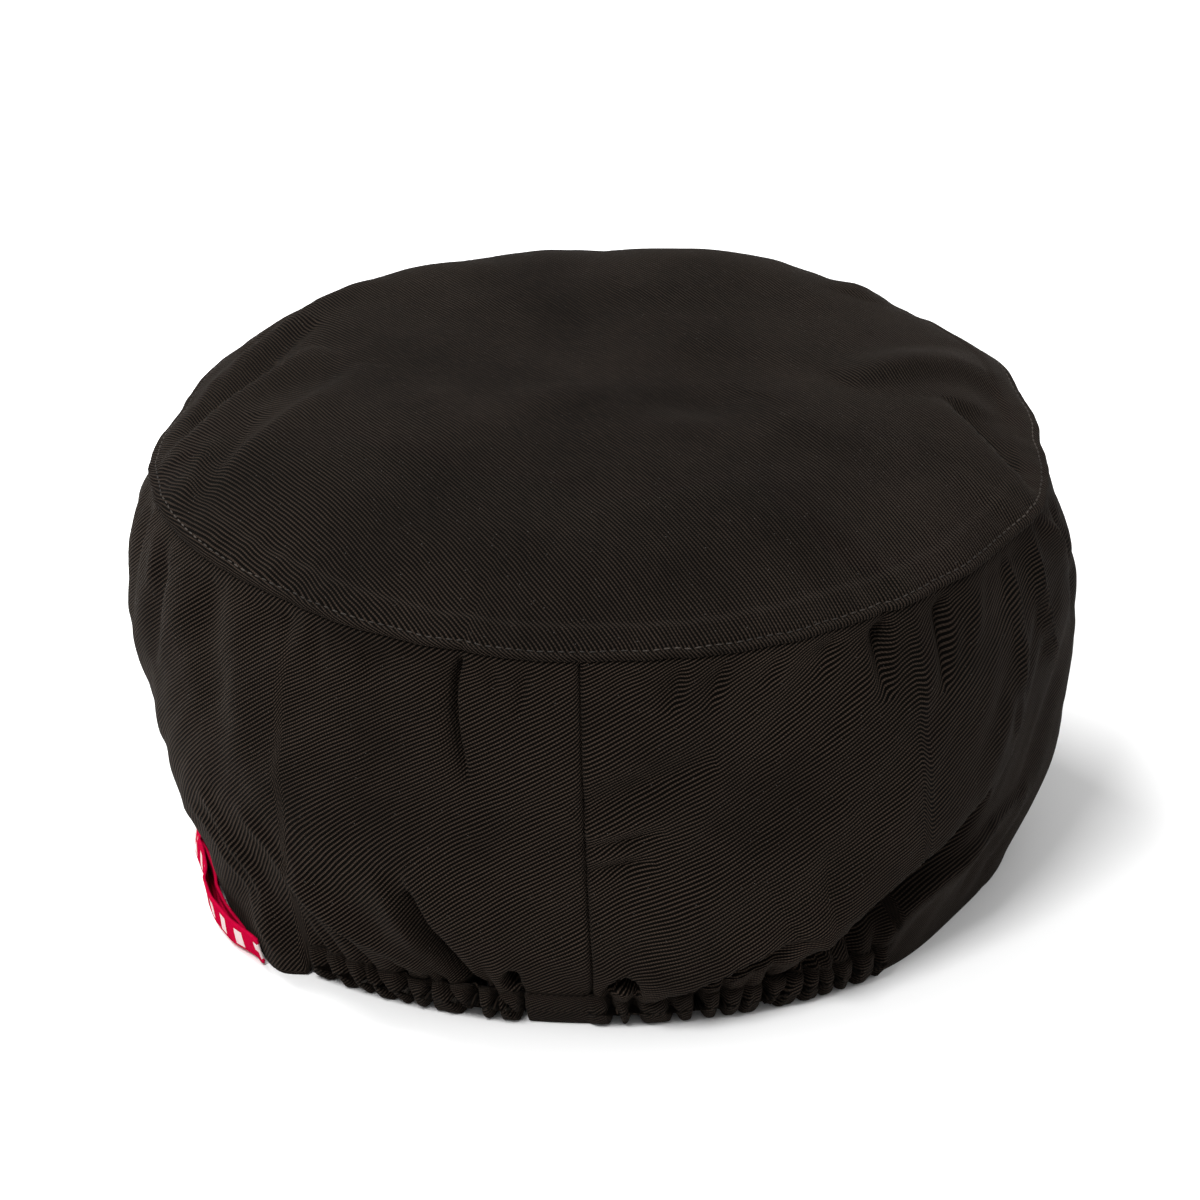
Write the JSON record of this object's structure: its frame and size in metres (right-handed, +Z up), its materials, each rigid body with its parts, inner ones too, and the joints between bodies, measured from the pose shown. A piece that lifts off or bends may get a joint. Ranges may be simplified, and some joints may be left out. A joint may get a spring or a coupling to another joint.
{
  "type": "chef skull cap",
  "caption": "Chef's skull cap of dark cotton twill: a domed round top panel on a wall that pouches over a hem gathered by elastic at the back, with a red woven label.",
  "frame": {"origin": "under the middle of the cap's bounding box, on the surface that the hem stands on", "axes": "+Z up through the crown, +Y towards the back of the head, -Y towards the brow, -X towards the wearer's right"},
  "size_m": [0.202, 0.1972, 0.1055],
  "materials": {
    "twill_crown": "matt cotton twill, black-brown, topstitched round its edge",
    "twill_wall": "matt cotton twill, black-brown",
    "twill_casing": "matt cotton twill, gathered over elastic",
    "label_weave": "red woven tape, slightly raised selvedges, with plain pale woven bars"
  },
  "bodies": {
    "root": {"crown_tip": "twill_crown", "side_band": "twill_wall", "elastic_casing": "twill_casing", "woven_label": "label_weave"}
  },
  "joints": []
}
